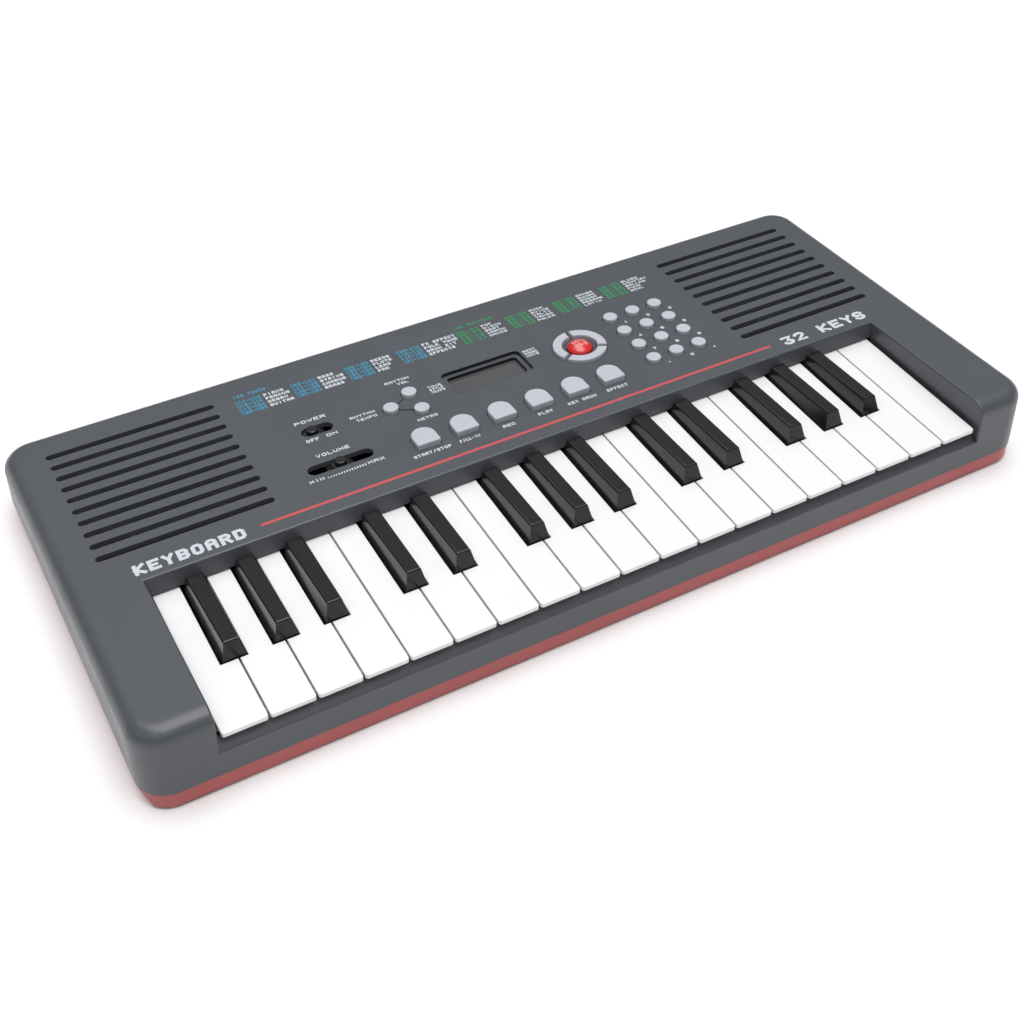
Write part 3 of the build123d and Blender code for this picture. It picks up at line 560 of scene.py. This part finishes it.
for name, ink, slot in (
    ("labels", light_ink, "print_light"),
    ("tone_list", blue_ink, "print_blue"),
    ("rhythm_list", green_ink, "print_green"),
    ("red_line", red_ink, "print_red"),
):
    finish_piece(name, ink, slot, "case")

# ---------------------------------------------------------------- display recess's painted shade: a thin dark sheet on its walls
WINDOW_X = 0.2
WINDOW_Y = 42.8
WINDOW_WIDE = 43.4
WINDOW_DEEP = 19.6
WINDOW_CORNER = 3.0
WINDOW_SHELF = 2.4
WINDOW_STEP = 1.8
WINDOW_RECESS = 3.5
SHADE_SHEET = 0.12
SHADE_SHEET_PLAY = 0.01
SHADE_SHEET_RIM = 0.3  # from the panel down to the painted-shade sheet's upper edge


def rounded(wide, deep, corner, steps=8):
    """Outline of a rounded rectangle around the display's middle, anticlockwise."""
    points = []
    for turn, sx, sy in ((0, 1, 1), (90, -1, 1), (180, -1, -1), (270, 1, -1)):
        for i in range(steps + 1):
            angle = math.radians(turn + 90 * i / steps)
            points.append(
                (
                    WINDOW_X + sx * (wide / 2 - corner) + corner * math.cos(angle),
                    WINDOW_Y + sy * (deep / 2 - corner) + corner * math.sin(angle),
                )
            )
    return points


def add_loop_wall(shape, size, bottom, top):
    """A closed band of the painted-shade sheet's thickness around the inside of a rounded
    rectangle.
    """
    wide, deep, corner = size
    outer = rounded(wide, deep, corner)
    inner = rounded(wide - 2 * SHADE_SHEET, deep - 2 * SHADE_SHEET, corner - SHADE_SHEET)
    loops = [
        [shape.verts.new(on_panel(x, y, height)) for x, y in outline]
        for outline, height in ((outer, bottom), (outer, top), (inner, top), (inner, bottom))
    ]
    for k, loop in enumerate(loops):
        other = loops[(k + 1) % len(loops)]
        for i in range(len(loop)):
            j = (i + 1) % len(loop)
            shape.faces.new((loop[i], loop[j], other[j], other[i]))


# Painted shade: a thin dark sheet on the walls of the display's stepped recess, standing in for the
# shadow there.
shade_sheet = bmesh.new()
outer_step = (WINDOW_WIDE - 2 * SHADE_SHEET_PLAY, WINDOW_DEEP - 2 * SHADE_SHEET_PLAY, WINDOW_CORNER)
inner_step = (
    WINDOW_WIDE - 2 * WINDOW_SHELF - 2 * SHADE_SHEET_PLAY,
    WINDOW_DEEP - 2 * WINDOW_SHELF - 2 * SHADE_SHEET_PLAY,
    WINDOW_CORNER - 1,
)
add_loop_wall(shade_sheet, outer_step, -WINDOW_STEP + SHADE_SHEET_PLAY, -SHADE_SHEET_RIM)
add_loop_wall(shade_sheet, inner_step, -WINDOW_RECESS + SHADE_SHEET_PLAY, -WINDOW_STEP)
bmesh.ops.recalc_face_normals(shade_sheet, faces=shade_sheet.faces)
smooth(finish_piece("display_painted_shade", shade_sheet, "knob_dark", "case"))

# ---------------------------------------------------------------- demo button's dome
DEMO_X = 50.2
DEMO_Y = 38.0
DEMO_RADIUS = 6.4
DEMO_RIM = 0.9
DEMO_TOP = 3.4
DEMO_ROOT = -2.4


def dome_height(radius):
    """Height of the dome's surface above the panel, at a radius from its middle."""
    ball = (DEMO_RADIUS**2 + (DEMO_TOP - DEMO_RIM) ** 2) / (2 * (DEMO_TOP - DEMO_RIM))
    return DEMO_TOP - ball + math.sqrt(ball**2 - min(radius, DEMO_RADIUS) ** 2)


dome = bmesh.new()
EDGE_WIDE = 0.35  # rounding between the dome's side and its top
EDGE_HIGH = 0.42
EDGE_START = DEMO_RIM - 0.5
RADIAL_STEPS = 12
AROUND = 64
profile = [(DEMO_RADIUS, DEMO_ROOT), (DEMO_RADIUS, EDGE_START)]
profile += [
    (DEMO_RADIUS - EDGE_WIDE * (1 - math.cos(turn)), EDGE_START + EDGE_HIGH * math.sin(turn))
    for turn in (0.4, 0.8, 1.2)
]
profile += [
    (DEMO_RADIUS * k / RADIAL_STEPS, dome_height(DEMO_RADIUS * k / RADIAL_STEPS))
    for k in range(RADIAL_STEPS - 1, 0, -1)
]
rings = [
    [
        dome.verts.new(
            on_panel(
                DEMO_X + r * math.cos(2 * math.pi * i / AROUND),
                DEMO_Y + r * math.sin(2 * math.pi * i / AROUND),
                h,
            )
        )
        for i in range(AROUND)
    ]
    for r, h in profile
]
crown = dome.verts.new(on_panel(DEMO_X, DEMO_Y, DEMO_TOP))
for lower, upper in zip(rings, rings[1:]):
    for i in range(AROUND):
        j = (i + 1) % AROUND
        dome.faces.new((lower[i], lower[j], upper[j], upper[i]))
for i in range(AROUND):
    dome.faces.new((rings[-1][i], rings[-1][(i + 1) % AROUND], crown))
dome.faces.new(list(reversed(rings[0])))
piece = finish_piece("demo_dome", dome, "demo_red", "demo_button")
smooth(piece)
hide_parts("demo_button")

demo_ink = bmesh.new()
DEMO_WORD_WIDE = 7.0
DEMO_WORD_HIGH = 2.3
DEMO_WORD_Y = 1.6
DEMO_WORD_LIFT = 0.02
for line, y in (("DEMO", DEMO_WORD_Y), ("SONG", -DEMO_WORD_Y)):
    add_label(demo_ink, line, -DEMO_WORD_WIDE / 2, DEMO_WORD_WIDE / 2, y, DEMO_WORD_HIGH)
inverse = panel_matrix.inverted()
for vert in demo_ink.verts:
    local = inverse @ vert.co
    lift = dome_height(math.hypot(local.x, local.y))
    vert.co = on_panel(DEMO_X + local.x, DEMO_Y + local.y, lift + local.z + DEMO_WORD_LIFT)
finish_piece("demo_word", demo_ink, "print_pink", "demo_button")

# ---------------------------------------------------------------- floor, light and camera
FLOOR_REACH = 6
floor_shape = bmesh.new()
for sx, sy in ((-1, -1), (1, -1), (1, 1), (-1, 1)):
    floor_shape.verts.new((sx * FLOOR_REACH, sy * FLOOR_REACH, 0))
floor_shape.faces.new(floor_shape.verts)
floor_mesh = bpy.data.meshes.new("floor")
floor_shape.to_mesh(floor_mesh)
floor_shape.free()
floor = bpy.data.objects.new("floor", floor_mesh)
bpy.context.scene.collection.objects.link(floor)
floor_mesh.materials.append(
    plastic(
        "floor_paper", (0.9, 0.9, 0.9), 0.9,
        mottle=0.004, grain=2.0, grain_depth=0.01, specular=0.1,
    )
)

world = bpy.data.worlds.new("studio")
bpy.context.scene.world = world
world.use_nodes = True
sky = world.node_tree
place = new_node(sky, "ShaderNodeTexCoord").outputs["Generated"]
height = new_node(sky, "ShaderNodeSeparateXYZ")
sky.links.new(place, height.inputs["Vector"])
# dark from the horizon up to a tenth of the way, then evenly brighter towards the zenith
glow = new_node(sky, "ShaderNodeMapRange")
for socket, value in (("From Min", 0.1), ("From Max", 0.9), ("To Min", 0.0), ("To Max", 0.7)):
    glow.inputs[socket].default_value = value
sky.links.new(height.outputs["Z"], glow.inputs["Value"])
sky.links.new(glow.outputs["Result"], sky.nodes["Background"].inputs["Strength"])
sky.nodes["Background"].inputs["Color"].default_value = (0.97, 0.985, 1, 1)


def soft_sun(name, toward, strength, spread):
    """A wide, even light that shines from that direction."""
    light = bpy.data.lights.new(name, "SUN")
    light.energy = strength
    light.angle = math.radians(spread)
    lamp = bpy.data.objects.new(name, light)
    bpy.context.scene.collection.objects.link(lamp)
    lamp.rotation_euler = (-Vector(toward)).to_track_quat("-Z", "Y").to_euler()


soft_sun("rear_softbox", (0.02, 0.32, 1), 0.8, 50)
soft_sun("overhead_softbox", (0, -0.15, 1), 1.6, 50)
soft_sun("glint", (0.1, -0.4, 1), 0.25, 12)

CAMERA_PLACE = Vector((-0.27776, -0.52043, 0.51907))
CAMERA_AZIMUTH = math.radians(32.0847)
CAMERA_DROP = math.radians(36.5903)
CAMERA_ROLL = math.radians(1.9748)
CAMERA_LENS = 56.085
CAMERA_SHIFT = (-0.1024, -0.1621)
forward = Vector(
    (
        math.sin(CAMERA_AZIMUTH) * math.cos(CAMERA_DROP),
        math.cos(CAMERA_AZIMUTH) * math.cos(CAMERA_DROP),
        -math.sin(CAMERA_DROP),
    )
)
level = Vector((math.cos(CAMERA_AZIMUTH), -math.sin(CAMERA_AZIMUTH), 0))
upright = level.cross(forward)
right = level * math.cos(CAMERA_ROLL) + upright * math.sin(CAMERA_ROLL)
up = right.cross(forward)
lens = bpy.data.cameras.new("camera")
lens.sensor_width = 36
lens.lens = CAMERA_LENS
lens.shift_x, lens.shift_y = CAMERA_SHIFT
lens.clip_start = 0.01
camera = bpy.data.objects.new("camera", lens)
bpy.context.scene.collection.objects.link(camera)
camera.matrix_world = Matrix(
    (
        (right.x, up.x, -forward.x, CAMERA_PLACE.x),
        (right.y, up.y, -forward.y, CAMERA_PLACE.y),
        (right.z, up.z, -forward.z, CAMERA_PLACE.z),
        (0, 0, 0, 1),
    )
)
bpy.context.scene.camera = camera
bpy.context.scene.view_settings.view_transform = "Standard"
bpy.context.scene.view_settings.look = "None"
